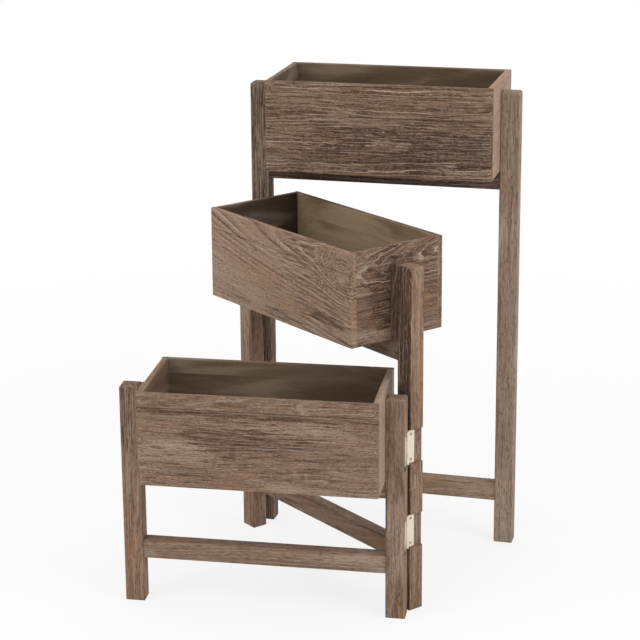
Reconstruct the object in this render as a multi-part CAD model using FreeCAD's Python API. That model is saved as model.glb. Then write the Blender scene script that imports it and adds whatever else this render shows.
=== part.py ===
import FreeCAD, Part
import math
import os

# A tiered plant stand: three wooden frames of rising height, hinged to each other like a folding
# screen, each carrying one open planter box between its two posts. Millimetres, +Z up.
# +X runs along the low front frame, and -Y is the side that it is seen from.

Vector = FreeCAD.Vector

# ---- frames -------------------------------------------------------------------------------------
frame_width = 492.0            # over the outer faces of the two posts
post_width = 34.0              # along the frame
post_depth = 30.0              # across the frame
post_top_round = 5.0           # rounding of the post's top end
post_arris_chamfer = 1.5       # broken long edges of the post
foot_chamfer = 1.0             # broken edge round the foot

bar_depth = 25.0               # stretcher and rail, across the frame
stretcher_height = 33.0
stretcher_above_floor = 81.0
rail_height = 34.0
bar_chamfer = 1.0
tenon_length = 18.0
tenon_depth = 12.0
tenon_shoulder = 5.0           # bar left above and below a tenon
tenon_end_gap = 1.0            # room past the tenon's end
tenon_side_gap = 0.1

# ---- planter boxes ------------------------------------------------------------------------------
low_box_base = 252.0           # underside of the lowest box above the floor
rail_above_box = {"middle": 30.0, "tall": 31.0}               # this tier's rail over the rim below it
rim_above_post = {"low": 18.0, "middle": 28.0, "tall": 20.0}  # box rim over the tops of its posts
box_depth = 198.0
box_height = 163.0
board_thickness = 11.0
board_edge_round = 2.0
box_corner_round = 3.0
board_step = 1.4               # how far the lower plank of a board stands proud
joint_groove = 1.6             # eased edge where two planks are glued
long_joint_drop = {"low": 26.0, "middle": 38.0, "tall": 60.0}  # glue joint below the box's rim
end_joint_drop = {"low": 44.0, "middle": 80.0, "tall": 52.0}
bottom_thickness = 9.0
bottom_gap = 0.3               # bottom board to the walls round it
drain_hole_radius = 6.0
drain_hole_count = 2
spacer_width = 17.0            # batten that sets a box off from one post
spacer_chamfer = 1.5
spacer_top_drop = 1.0          # batten's top below the post's top
spacer_end = {"low": "left", "middle": "right", "tall": "left"}

# ---- brads and screws that hold a box -----------------------------------------------------------
fastener_sides = 6             # flat sides of a shank and of the hole that it fills
head_sides = 12                # flat sides of a small screw or pin head
pin_sides = 8                  # flat sides of a hinge pin and of its bore
brad_width = 1.6
brad_thickness = 1.2
brad_length = 25.0
brad_heights = (14.0, 82.0, 150.0)            # above the box's underside, at each corner
box_screw_radius = 2.0
box_screw_head_radius = 4.2
box_screw_head_height = 2.2
head_taper = 0.7               # a head's outer end over its inner end
box_screw_bite = 20.0                         # length of screw in the post
box_screw_heights = (38.0, 106.0)             # above the box's underside

# ---- hinges -------------------------------------------------------------------------------------
hinge_height = 60.0
leaf_width = 16.0
leaf_thickness = 1.2
pin_radius = 1.5
pin_running_gap = 0.05         # pin to the turning knuckle's bore
knuckle_length = 17.0          # each of the two outer knuckles
knuckle_gap = 0.25             # between knuckles, and round them
pin_head_radius = 2.3
pin_head_height = 1.0
post_gap = 6.0                 # between two posts when the frames lie flat together
gain_clearance = 0.5           # gain above and below a leaf
gain_depth = {"low": 3.5, "middle_front": 5.0, "middle_rear": 4.0, "tall": 5.0}
lower_hinge_height = 147.0
upper_hinge_drop = 97.0        # upper hinge below the top of the shorter post
hinge_screw_radius = 1.5
hinge_screw_head_radius = 2.8
hinge_screw_length = 16.0
hinge_screw_reach = 8.5        # from the pin's line
hinge_screw_spacing = 45.0
screw_slot_width = 0.7
screw_slot_depth = 0.6

# ---- how far the frames stand open --------------------------------------------------------------
front_fold = 43.0              # degrees between the low and the middle frame
rear_fold = 38.0               # degrees between the middle and the tall frame

# ---- worked out from the sizes above ------------------------------------------------------------
tier_rise = {tier: box_height + gap + rail_height for tier, gap in rail_above_box.items()}
box_base = {
    "low": low_box_base,
    "middle": low_box_base + tier_rise["middle"],
    "tall": low_box_base + tier_rise["middle"] + tier_rise["tall"],
}
post_height = {tier: base + box_height - rim_above_post[tier] for tier, base in box_base.items()}
half_post = post_depth / 2
inner_left = post_width
inner_right = frame_width - post_width
box_length = inner_right - inner_left - spacer_width
pin_to_leaf_back = pin_radius + leaf_thickness
barrel_radius = pin_radius + leaf_thickness
bore_corner_radius = (pin_radius + pin_running_gap) / math.cos(math.pi / pin_sides)
pin_offset = half_post + post_gap / 2         # pin from the frame's middle plane
overshoot = 1.0                               # cutting solids run this far past a face


# ---- small helpers ------------------------------------------------------------------------------
def block(x, y, z):
    """Box between pairs of limits."""
    return Part.makeBox(x[1] - x[0], y[1] - y[0], z[1] - z[0], Vector(x[0], y[0], z[0]))


def runs_along(edge, axis):
    """True for a straight edge parallel to one axis."""
    box = edge.BoundBox
    lengths = {"x": box.XLength, "y": box.YLength, "z": box.ZLength}
    across = [size for name, size in lengths.items() if name != axis]
    return lengths[axis] > 1e-3 and max(across) < 1e-3


def edges_near(shape, axis, test):
    """Edges parallel to an axis whose middle point passes the test."""
    return [edge for edge in shape.Edges if runs_along(edge, axis) and test(edge.CenterOfMass)]


def ring(centre, direction, radius, sides):
    """Corners of a regular outline round an axis that runs along X or Z."""
    side_on = Vector(0, 1, 0)
    other = direction.cross(side_on)
    turns = [2 * math.pi * (index + 0.5) / sides for index in range(sides)]
    return [centre + side_on * (radius * math.cos(turn)) + other * (radius * math.sin(turn))
            for turn in turns]


def flat_face(points):
    """Plane face with straight edges."""
    return Part.Face(Part.makePolygon(points + points[:1]))


def faceted_rod(start, direction, length, radius, sides):
    """Rod with a few flat sides."""
    return flat_face(ring(start, direction, radius, sides)).extrude(direction * length)


def faceted_cone(start, direction, length, radius, end_radius, sides):
    """Cone with a few flat sides, cut off at both ends."""
    wide = ring(start, direction, radius, sides)
    narrow = ring(start + direction * length, direction, end_radius, sides)
    faces = [flat_face(wide), flat_face(narrow)]
    for index in range(sides):
        after = (index + 1) % sides
        faces.append(flat_face([wide[index], wide[after], narrow[after], narrow[index]]))
    solid = Part.Solid(Part.Shell(faces))
    return solid if solid.Volume > 0 else solid.reversed()


def chamfered_bar(x, y, z, size):
    """Square bar along X with its four long edges broken."""
    bar = block(x, y, z)
    return bar.makeChamfer(size, edges_near(bar, "x", lambda point: True))


def box_span(tier):
    """Left and right end of a tier's box."""
    if spacer_end[tier] == "left":
        return inner_left + spacer_width, inner_right
    return inner_left, inner_right - spacer_width


# ---- frame --------------------------------------------------------------------------------------
def rounded_profile(start, across, sweep, width, depth, height):
    """Side view of a post, rounded at the top and broken at the foot, swept through its depth."""
    body = Part.Face(Part.makePolygon([
        start, start + across * width, start + across * width + Vector(0, 0, height),
        start + Vector(0, 0, height), start,
    ])).extrude(sweep * depth)
    axis = "y" if sweep.y else "x"
    body = body.makeFillet(post_top_round, edges_near(body, axis, lambda point: point.z > height / 2))
    return body.makeChamfer(foot_chamfer, edges_near(body, axis, lambda point: point.z < height / 2))


def plain_post(left, height):
    """Post whose two side views are rounded at the top, with broken long edges."""
    corner = Vector(left, -half_post, 0)
    along, across = Vector(1, 0, 0), Vector(0, 1, 0)
    body = block((left, left + post_width), (-half_post, half_post), (0, height))
    body = body.makeChamfer(post_arris_chamfer, edges_near(body, "z", lambda point: True))
    body = body.common(rounded_profile(corner, along, across, post_width, post_depth, height))
    return body.common(rounded_profile(corner, across, along, post_depth, post_width, height))


def mortise(inner_face, direction, low, height):
    """Blind slot that takes a bar's tenon."""
    depth = tenon_length + tenon_end_gap
    x = sorted((inner_face - direction * overshoot, inner_face + direction * depth))
    half = tenon_depth / 2 + tenon_side_gap
    z = (low + tenon_shoulder - tenon_side_gap, low + height - tenon_shoulder + tenon_side_gap)
    return block(x, (-half, half), z)


def gain(outer_face, direction, depth, height):
    """Notch right across a post's outer face that a hinge leaf lies in."""
    half = hinge_height / 2 + gain_clearance
    x = sorted((outer_face - direction * depth, outer_face + direction * overshoot))
    return block(x, (-half_post - overshoot, half_post + overshoot), (height - half, height + half))


def post(tier, side):
    """One post with its mortises, hinge gains and screw holes."""
    left = 0.0 if side == "left" else inner_right
    inner_face = inner_left if side == "left" else inner_right
    outer_face = 0.0 if side == "left" else frame_width
    outward = -1 if side == "left" else 1
    cuts = [
        mortise(inner_face, outward, stretcher_above_floor, stretcher_height),
        mortise(inner_face, outward, box_base[tier] - rail_height, rail_height),
    ]
    for place in hinge_places(tier, side):
        cuts.append(gain(outer_face, outward, place["gain"], place["height"]))
        cuts += hinge_screw_shanks(place)
    cuts += box_screw_shanks(tier, side)
    return plain_post(left, post_height[tier]).cut(Part.makeCompound(cuts))


def tenoned_bar(low, height):
    """Bar between the posts with a tenon at each end."""
    half = bar_depth / 2
    bar = chamfered_bar((inner_left, inner_right), (-half, half), (low, low + height), bar_chamfer)
    tenon = block(
        (inner_left - tenon_length, inner_right + tenon_length),
        (-tenon_depth / 2, tenon_depth / 2),
        (low + tenon_shoulder, low + height - tenon_shoulder),
    )
    return bar.fuse(tenon).removeSplitter()


def spacer(tier):
    """Batten between one end of the box and the post beside it."""
    left, right = box_span(tier)
    x = (inner_left, left) if spacer_end[tier] == "left" else (right, inner_right)
    top = post_height[tier] - spacer_top_drop
    body = block(x, (-half_post, half_post), (box_base[tier], top))
    rim = [edge for edge in body.Edges if edge.BoundBox.ZMin > top - 1e-3]
    body = body.makeChamfer(spacer_chamfer, rim)
    return body.cut(Part.makeCompound(box_screw_shanks(tier, spacer_end[tier])))


# ---- box ----------------------------------------------------------------------------------------
def board_section(joint_drop):
    """Upright section of a wall: outer face at 0, two planks glued edge to edge, lower one proud."""
    joint = box_height - joint_drop
    outline = [
        (board_thickness, 0),
        (board_thickness, box_height),
        (board_step, box_height),
        (board_step, joint + joint_groove),
        (board_step + joint_groove, joint),
        (joint_groove, joint),
        (0, joint - joint_groove),
        (0, 0),
    ]
    return outline


def wall(start, along, inward, length, base, joint_drop):
    """Wall board from one corner: its section swept along the board."""
    points = [start + inward * depth + Vector(0, 0, base + height)
              for depth, height in board_section(joint_drop)]
    return flat_face(points).extrude(along * length)


def round_rim(shape, axis, base):
    """Rounds both top edges of a wall board."""
    top = edges_near(shape, axis, lambda point: point.z > base + box_height - 1e-3)
    return shape.makeFillet(board_edge_round, top)


def long_wall(tier, front):
    """Front or back board, the full length of the box, with rounded outer corners."""
    left, right = box_span(tier)
    inward = Vector(0, 1 if front else -1, 0)
    outer = -box_depth / 2 if front else box_depth / 2
    base = box_base[tier]
    body = wall(Vector(left, outer, 0), Vector(1, 0, 0), inward, right - left, base,
                long_joint_drop[tier])
    body = round_rim(body, "x", base)
    tools = [corner_tool(Vector(x, outer, base), side, inward.y) for x, side in ((left, 1), (right, -1))]
    return body.cut(Part.makeCompound(tools + box_brads(tier)))


def corner_tool(corner, inward_x, inward_y):
    """What rounding takes off an upright corner of a box."""
    x = sorted((corner.x - inward_x * overshoot, corner.x + inward_x * box_corner_round))
    y = sorted((corner.y - inward_y * overshoot, corner.y + inward_y * box_corner_round))
    z = (corner.z - overshoot, corner.z + box_height + overshoot)
    centre = corner + Vector(inward_x * box_corner_round, inward_y * box_corner_round, -overshoot)
    rod = Part.makeCylinder(box_corner_round, box_height + 2 * overshoot, centre)
    return block(x, y, z).cut(rod)


def end_wall(tier, side):
    """End board between the front and back boards, holed for the box screws."""
    left, right = box_span(tier)
    inward = Vector(1 if side == "left" else -1, 0, 0)
    outer = left if side == "left" else right
    base = box_base[tier]
    half = box_depth / 2 - board_thickness
    body = block(sorted((outer, outer + inward.x * board_thickness)), (-half, half),
                 (base, base + box_height))
    body = round_rim(body, "y", base)
    tools = [groove_tool(outer, inward.x, half, base + box_height - end_joint_drop[tier])]
    tools += box_brads(tier) + box_screw_shanks(tier, side)
    return body.cut(Part.makeCompound(tools))


def groove_tool(outer, inward, half, height):
    """Vee along the glue joint of an end board, on its outer face."""
    points = [Vector(outer - inward * overshoot, -half - overshoot, height + joint_groove + overshoot),
              Vector(outer + inward * joint_groove, -half - overshoot, height),
              Vector(outer - inward * overshoot, -half - overshoot, height - joint_groove - overshoot)]
    return flat_face(points).extrude(Vector(0, 2 * (half + overshoot), 0))


def bottom_board(tier):
    """Loose-fitting bottom between the four walls, with drain holes."""
    left, right = box_span(tier)
    margin = board_thickness + bottom_gap
    half = box_depth / 2 - margin
    base = box_base[tier]
    board = block((left + margin, right - margin), (-half, half), (base, base + bottom_thickness))
    spacing = (right - left) / drain_hole_count
    holes = []
    for index in range(drain_hole_count):
        centre = Vector(left + (index + 0.5) * spacing, 0, base - overshoot)
        holes.append(Part.makeCylinder(drain_hole_radius, bottom_thickness + 2 * overshoot, centre))
    return board.cut(Part.makeCompound(holes))


def box_brads(tier):
    """Brads through the front and back boards into the ends of the end boards."""
    left, right = box_span(tier)
    brads = []
    for x in (left + board_thickness / 2, right - board_thickness / 2):
        for outer, inward in ((-box_depth / 2, 1), (box_depth / 2, -1)):
            for height in brad_heights:
                sunk = board_step if height > box_height - long_joint_drop[tier] else 0
                start = outer + inward * sunk
                y = sorted((start, start + inward * brad_length))
                z = box_base[tier] + height
                brads.append(block((x - brad_width / 2, x + brad_width / 2), y,
                                   (z - brad_thickness / 2, z + brad_thickness / 2)))
    return brads


def box_screw_line(tier, side):
    """Head face, direction and reach of the screws at one end of a box."""
    left, right = box_span(tier)
    outward = -1 if side == "left" else 1
    inside = left + board_thickness if side == "left" else right - board_thickness
    inner_face = inner_left if side == "left" else inner_right
    length = abs(inner_face - inside) + box_screw_bite
    return inside, outward, length


def box_screw_shanks(tier, side):
    """Shanks from inside the box through its end into the post."""
    inside, outward, length = box_screw_line(tier, side)
    return [faceted_rod(Vector(inside, 0, box_base[tier] + height), Vector(outward, 0, 0), length,
                        box_screw_radius, fastener_sides)
            for height in box_screw_heights]


def box_screws(tier):
    """Pan-head screws at both ends of a box."""
    screws = []
    for side in ("left", "right"):
        inside, outward, length = box_screw_line(tier, side)
        for shank, height in zip(box_screw_shanks(tier, side), box_screw_heights):
            seat = Vector(inside, 0, box_base[tier] + height)
            head = faceted_cone(seat, Vector(-outward, 0, 0), box_screw_head_height,
                                box_screw_head_radius, box_screw_head_radius * head_taper, head_sides)
            screws.append(shank.fuse(head))
    return screws


# ---- hinges -------------------------------------------------------------------------------------
def hinge_places(tier, side):
    """Every hinge on one post: its height, gain, and the way its leaf lies from the pin."""
    front = {"joint": "front", "shorter": "low"}
    rear = {"joint": "rear", "shorter": "middle"}
    pairs = {
        ("low", "right"): (front, "low", -1),
        ("middle", "right"): (front, "middle_front", 1),
        ("middle", "left"): (rear, "middle_rear", -1),
        ("tall", "left"): (rear, "tall", 1),
    }
    if (tier, side) not in pairs:
        return []
    pair, gain_name, reach = pairs[(tier, side)]
    outward = -1 if side == "left" else 1
    outer_face = 0.0 if side == "left" else frame_width
    inset = gain_depth[gain_name] - pin_to_leaf_back
    heights = {"lower": lower_hinge_height, "upper": post_height[pair["shorter"]] - upper_hinge_drop}
    return [{
        "name": pair["joint"] + "_" + level,
        "height": height,
        "gain": gain_depth[gain_name],
        "outward": outward,
        "reach": reach,
        "pin": Vector(outer_face - outward * inset, -reach * pin_offset, height),
    } for level, height in heights.items()]


def knuckle_levels(outer):
    """Lower and upper limit of a leaf's knuckles, measured from the hinge's middle."""
    half = hinge_height / 2
    if outer:
        return [(-half, knuckle_length - half), (half - knuckle_length, half)]
    inner = half - knuckle_length - knuckle_gap
    return [(-inner, inner)]


def upright(radius, low, high):
    """Cylinder on the pin's line."""
    return Part.makeCylinder(radius, high - low, Vector(0, 0, low))


def pin_rod(corner_radius, half):
    """Faceted rod on the pin's line, for the pin and for the bore that it lies in."""
    return faceted_rod(Vector(0, 0, -half), Vector(0, 0, 1), 2 * half, corner_radius, pin_sides)


def leaf(outer):
    """Hinge leaf about the pin's line: plate behind it towards -X, reaching out along +Y."""
    half = hinge_height / 2
    plate = block((-pin_to_leaf_back, -pin_radius), (0, leaf_width), (-half, half))
    corners = edges_near(plate, "x", lambda point: point.y > leaf_width / 2)
    plate = plate.makeChamfer(leaf_thickness, corners)
    room = barrel_radius + knuckle_gap
    for low, high in knuckle_levels(not outer):
        plate = plate.cut(block((-room, room), (-room, room), (low - knuckle_gap, high + knuckle_gap)))
    for low, high in knuckle_levels(outer):
        plate = plate.fuse(upright(barrel_radius, low, high))
    plate = plate.cut(pin_rod(bore_corner_radius, half + overshoot))
    sinks = [countersink(level) for level in hinge_screw_levels()]
    return plate.cut(Part.makeCompound(sinks)).removeSplitter()


def countersink(level):
    """Head of a hinge screw, as wide at the leaf's face as its head and tapering to its shank."""
    seat = Vector(-pin_radius, hinge_screw_reach, level)
    return faceted_cone(seat, Vector(-1, 0, 0), leaf_thickness, hinge_screw_head_radius,
                        hinge_screw_radius, head_sides)


def place_on_post(shape, place):
    """Turns a shape made about the pin's line to the side and way that a hinge lies, and moves it."""
    if place["outward"] < 0:
        shape = shape.mirror(Vector(0, 0, 0), Vector(1, 0, 0))
    if place["reach"] < 0:
        shape = shape.mirror(Vector(0, 0, 0), Vector(0, 1, 0))
    return shape.translated(place["pin"])


def hinge_screw_shank(level):
    """Shank of a hinge screw, from the back of its leaf into the post."""
    start = Vector(-pin_to_leaf_back, hinge_screw_reach, level)
    return faceted_rod(start, Vector(-1, 0, 0), hinge_screw_length - leaf_thickness,
                       hinge_screw_radius, fastener_sides)


def hinge_screw_levels():
    """Height of a leaf's two screws from the hinge's middle."""
    return -hinge_screw_spacing / 2, hinge_screw_spacing / 2


def hinge_screw_shanks(place):
    """Shanks behind a leaf, which also bore the post."""
    return [place_on_post(hinge_screw_shank(level), place) for level in hinge_screw_levels()]


def hinge_screws(place):
    """The two countersunk screws of a leaf, each with a cross slot."""
    screws = []
    for level in hinge_screw_levels():
        screw = hinge_screw_shank(level).fuse(countersink(level))
        arm = hinge_screw_head_radius * 0.6
        x = (-pin_radius - screw_slot_depth, -pin_radius + overshoot)
        for half_y, half_z in ((arm, screw_slot_width / 2), (screw_slot_width / 2, arm)):
            screw = screw.cut(block(x, (hinge_screw_reach - half_y, hinge_screw_reach + half_y),
                                    (level - half_z, level + half_z)))
        screws.append(place_on_post(screw, place))
    return screws


def hinge_pin():
    """Pin with a head at each end that keeps it in the barrel."""
    half = hinge_height / 2
    pin = pin_rod(pin_radius, half)
    for direction in (-1, 1):
        seat = Vector(0, 0, direction * half)
        pin = pin.fuse(faceted_cone(seat, Vector(0, 0, direction), pin_head_height, pin_head_radius,
                                    pin_head_radius * head_taper, head_sides))
    return pin


# ---- assembly -----------------------------------------------------------------------------------
def frame_nodes(tier):
    """Every piece of one frame, in that frame's own place: left post at X 0, middle plane at Y 0."""
    hinges = hinge_places(tier, "left") + hinge_places(tier, "right")
    pieces = {
        "left_post": post(tier, "left"),
        "right_post": post(tier, "right"),
        "stretcher": tenoned_bar(stretcher_above_floor, stretcher_height),
        "rail": tenoned_bar(box_base[tier] - rail_height, rail_height),
        "spacer": spacer(tier),
        "box_front": long_wall(tier, True),
        "box_back": long_wall(tier, False),
        "box_left_end": end_wall(tier, "left"),
        "box_right_end": end_wall(tier, "right"),
        "box_bottom": bottom_board(tier),
        "box_brads": Part.makeCompound(box_brads(tier)),
        "box_screws": Part.makeCompound(box_screws(tier)),
        "hinge_screws": Part.makeCompound([screw for place in hinges for screw in hinge_screws(place)]),
    }
    for place in hinges:
        pieces[place["name"] + "_leaf"] = place_on_post(leaf(tier == "middle"), place)
        if tier == "middle":
            pieces[place["name"] + "_pin"] = hinge_pin().translated(place["pin"])
    return {tier + "_" + name: shape for name, shape in pieces.items()}


def frame_placements():
    """Place of each frame when the stand is open: the two pins fix one frame to the next."""
    front_low = hinge_places("low", "right")[0]["pin"]
    front_middle = hinge_places("middle", "right")[0]["pin"]
    rear_middle = hinge_places("middle", "left")[0]["pin"]
    rear_tall = hinge_places("tall", "left")[0]["pin"]
    up = Vector(0, 0, 1)
    low = FreeCAD.Placement(Vector(-frame_width / 2, 0, 0), FreeCAD.Rotation(up, 0))
    middle = hung_on(low.multVec(front_low), front_middle, -front_fold)
    tall = hung_on(middle.multVec(rear_middle), rear_tall, rear_fold - front_fold)
    return {"low": low, "middle": middle, "tall": tall}


def hung_on(pin_in_stand, pin_in_frame, angle):
    """Placement that turns a frame and brings its pin onto the pin of the frame before it."""
    turn = FreeCAD.Rotation(Vector(0, 0, 1), angle)
    shift = pin_in_stand - turn.multVec(pin_in_frame)
    return FreeCAD.Placement(Vector(shift.x, shift.y, 0), turn)


def stand_nodes():
    """All pieces of the open stand round the middle of its footprint, and how far that moved them."""
    placements = frame_placements()
    nodes = {}
    for tier, place in placements.items():
        for name, shape in frame_nodes(tier).items():
            shape = shape.copy()
            shape.Placement = place.multiply(shape.Placement)
            nodes[name] = shape
    bounds = Part.makeCompound(list(nodes.values())).optimalBoundingBox(False)
    shift = Vector(-bounds.Center.x, -bounds.Center.y, 0)
    return {name: shape.translated(shift) for name, shape in nodes.items()}, shift


def main():
    os.makedirs("parts", exist_ok=True)
    nodes = stand_nodes()[0]
    for name, shape in nodes.items():
        shape.exportStep(os.path.join("parts", name + ".step"))
    print(len(nodes), "pieces")


main()
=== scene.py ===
import math

import bmesh
import bpy
from mathutils import Matrix, Vector


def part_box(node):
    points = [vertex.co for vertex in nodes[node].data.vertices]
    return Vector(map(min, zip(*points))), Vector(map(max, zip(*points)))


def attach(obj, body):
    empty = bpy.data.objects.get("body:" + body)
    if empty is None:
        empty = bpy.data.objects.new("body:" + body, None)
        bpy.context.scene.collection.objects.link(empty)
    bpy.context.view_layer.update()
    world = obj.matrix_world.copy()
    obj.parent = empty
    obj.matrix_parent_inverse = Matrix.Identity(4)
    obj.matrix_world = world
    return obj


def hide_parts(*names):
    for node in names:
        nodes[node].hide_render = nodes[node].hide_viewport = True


# Folding plant stand: three hinged wooden frames, each with an open planter box.
# The frame gives every size; this script gives the looks. Metres, +Z up.

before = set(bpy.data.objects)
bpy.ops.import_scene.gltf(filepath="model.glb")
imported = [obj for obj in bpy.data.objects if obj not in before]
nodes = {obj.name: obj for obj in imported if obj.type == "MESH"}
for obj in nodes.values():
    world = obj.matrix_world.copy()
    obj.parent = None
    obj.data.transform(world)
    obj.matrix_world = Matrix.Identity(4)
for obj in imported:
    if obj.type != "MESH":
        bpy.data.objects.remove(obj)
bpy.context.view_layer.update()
scene = bpy.context.scene
print("frame loaded:", len(nodes), "nodes")


# camera: a standing viewer in front of the low frame, to its right
cameraView = {
    "place": (0.5642, -3.3996, 1.5367),
    "turn": 11.455,       # degrees to the left of straight ahead
    "tiltDown": 15.485,
    "roll": -0.925,
    "focalPixels": 2045.9,
    "framePixels": 640,
    "shift": (0.1, -0.1),
}


def makeCamera(view):
    data = bpy.data.cameras.new("camera")
    data.sensor_width = 36
    data.lens = view["focalPixels"] / view["framePixels"] * data.sensor_width
    data.shift_x, data.shift_y = view["shift"]
    data.clip_start, data.clip_end = 0.1, 100
    camera = bpy.data.objects.new("camera", data)
    scene.collection.objects.link(camera)
    turn = Matrix.Rotation(math.radians(view["turn"]), 4, "Z")
    tilt = Matrix.Rotation(math.radians(90 - view["tiltDown"]), 4, "X")
    roll = Matrix.Rotation(math.radians(view["roll"]), 4, "Z")
    camera.matrix_world = Matrix.Translation(view["place"]) @ turn @ tilt @ roll
    scene.camera = camera


makeCamera(cameraView)


# small helpers for node trees
def linear(red, green, blue):
    # an ordinary 0 to 255 screen colour, as the shader wants it
    channels = []
    for value in (red, green, blue):
        share = value / 255
        channels.append(share / 12.92 if share <= 0.04045 else ((share + 0.055) / 1.055) ** 2.4)
    return (*channels, 1)


def addNode(tree, kind, settings=None, inputs=None):
    node = tree.nodes.new(kind)
    for key, value in (settings or {}).items():
        setattr(node, key, value)
    for key, value in (inputs or {}).items():
        if isinstance(value, bpy.types.NodeSocket):
            tree.links.new(value, node.inputs[key])
        else:
            node.inputs[key].default_value = value
    return node


def sums(tree, operation, first, second=0.0, clamp=False):
    settings = {"operation": operation, "use_clamp": clamp}
    return addNode(tree, "ShaderNodeMath", settings, {0: first, 1: second}).outputs[0]


def fade(tree, value, low, high, toLow=0.0, toHigh=1.0):
    # smooth step from one value to another
    settings = {"interpolation_type": "SMOOTHSTEP"}
    inputs = {"Value": value, "From Min": low, "From Max": high, "To Min": toLow, "To Max": toHigh}
    return addNode(tree, "ShaderNodeMapRange", settings, inputs).outputs["Result"]


def vectorSums(tree, operation, first, second=None):
    # puts out a vector, or a number where the operation gives one
    inputs = {0: first} if second is None else {0: first, 1: second}
    node = addNode(tree, "ShaderNodeVectorMath", {"operation": operation}, inputs)
    return node.outputs["Value" if operation in ("LENGTH", "DISTANCE", "DOT_PRODUCT") else "Vector"]


def blendColours(tree, factor, first, second):
    node = addNode(tree, "ShaderNodeMix", {"data_type": "RGBA"}, {0: factor})
    for socket, value in ((node.inputs[6], first), (node.inputs[7], second)):
        if isinstance(value, bpy.types.NodeSocket):
            tree.links.new(value, socket)
        else:
            socket.default_value = value
    return node.outputs[2]


def noise(tree, vector, stretch, detail=3.0, roughness=0.55, distortion=0.0, move=(0, 0, 0)):
    # noise whose lumps are drawn out: stretch is lumps per metre along each axis
    mapped = addNode(tree, "ShaderNodeMapping", None, {"Vector": vector, "Scale": stretch, "Location": move})
    inputs = {"Vector": mapped.outputs[0], "Scale": 1.0, "Detail": detail, "Roughness": roughness,
              "Distortion": distortion}
    return addNode(tree, "ShaderNodeTexNoise", None, inputs).outputs[0]


def newGroup(name, inputs, outputs):
    group = bpy.data.node_groups.new(name, "ShaderNodeTree")
    for label, kind, value in inputs:
        socket = group.interface.new_socket(label, in_out="INPUT", socket_type=kind)
        if value is not None:
            socket.default_value = value
    for label, kind in outputs:
        group.interface.new_socket(label, in_out="OUTPUT", socket_type=kind)
    return group, group.nodes.new("NodeGroupInput").outputs, group.nodes.new("NodeGroupOutput").inputs


number, vector3, colour4 = "NodeSocketFloat", "NodeSocketVector", "NodeSocketColor"


# studio: pale floor running into a white surround, broad soft lamps on both sides
studio = {
    "floorSize": 60.0,
    "floorDrop": 0.0005,      # keeps the floor just clear of the feet
    "floorColour": (0.93, 0.93, 0.93, 1),
    "whiteNear": 0.8,         # share of plain white close to the stand, which keeps its shadow
    "fadeFrom": 0.7,          # metres from the middle
    "fadeTo": 2.2,
    "surroundLight": 0.62,
    "lampAim": (0, 0, 0.4),
    "lamps": {
        "left": {"power": 46, "place": (-2.9, -2.4, 2.6), "size": 2.2},
        "right": {"power": 58, "place": (3.4, -1.6, 2.4), "size": 2.2},
        "top": {"power": 20, "place": (0.2, -0.4, 3.6), "size": 2.4},
    },
}


def studioSeen(tree):
    # 1 where the surround is looked at, straight or in a shiny surface
    path = addNode(tree, "ShaderNodeLightPath")
    seen = sums(tree, "MAXIMUM", path.outputs["Is Camera Ray"], path.outputs["Is Glossy Ray"])
    return sums(tree, "MAXIMUM", seen, path.outputs["Is Transmission Ray"])


def floorMaterial():
    material = bpy.data.materials.new("studioFloor")
    material.use_nodes = True
    tree = material.node_tree
    tree.nodes.clear()
    place = addNode(tree, "ShaderNodeTexCoord").outputs["Object"]
    away = vectorSums(tree, "LENGTH", place)
    white = fade(tree, away, studio["fadeFrom"], studio["fadeTo"], studio["whiteNear"], 1.0)
    factor = sums(tree, "MULTIPLY", white, studioSeen(tree))
    matt = addNode(tree, "ShaderNodeBsdfDiffuse", None, {"Color": studio["floorColour"]})
    glow = addNode(tree, "ShaderNodeEmission", None, {"Color": (1, 1, 1, 1), "Strength": 1.0})
    both = addNode(tree, "ShaderNodeMixShader", None, {0: factor, 1: matt.outputs[0], 2: glow.outputs[0]})
    addNode(tree, "ShaderNodeOutputMaterial", None, {"Surface": both.outputs[0]})
    return material


def makeFloor():
    bm = bmesh.new()
    bmesh.ops.create_grid(bm, x_segments=1, y_segments=1, size=studio["floorSize"] / 2)
    bmesh.ops.translate(bm, verts=bm.verts, vec=(0, 0, -studio["floorDrop"]))
    mesh = bpy.data.meshes.new("studioFloor")
    bm.to_mesh(mesh)
    bm.free()
    mesh.materials.append(floorMaterial())
    floor = bpy.data.objects.new("studioFloor", mesh)
    scene.collection.objects.link(floor)


def makeSurround():
    world = bpy.data.worlds.new("studioWorld")
    scene.world = world
    world.use_nodes = True
    tree = world.node_tree
    sky = tree.nodes["Background"]
    sky.inputs["Color"].default_value = (1, 1, 1, 1)
    tree.links.new(fade(tree, studioSeen(tree), 0, 1, studio["surroundLight"], 1.0), sky.inputs["Strength"])


def makeLamps():
    for name, lamp in studio["lamps"].items():
        data = bpy.data.lights.new(name + "Lamp", "AREA")
        data.energy = lamp["power"]
        data.size = lamp["size"]
        softbox = bpy.data.objects.new(name + "Lamp", data)
        scene.collection.objects.link(softbox)
        softbox.location = lamp["place"]
        towards = Vector(studio["lampAim"]) - softbox.location
        softbox.rotation_euler = towards.to_track_quat("-Z", "Y").to_euler()


makeFloor()
makeSurround()
makeLamps()
scene.view_settings.view_transform = "Standard"
print("studio ready")


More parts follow.
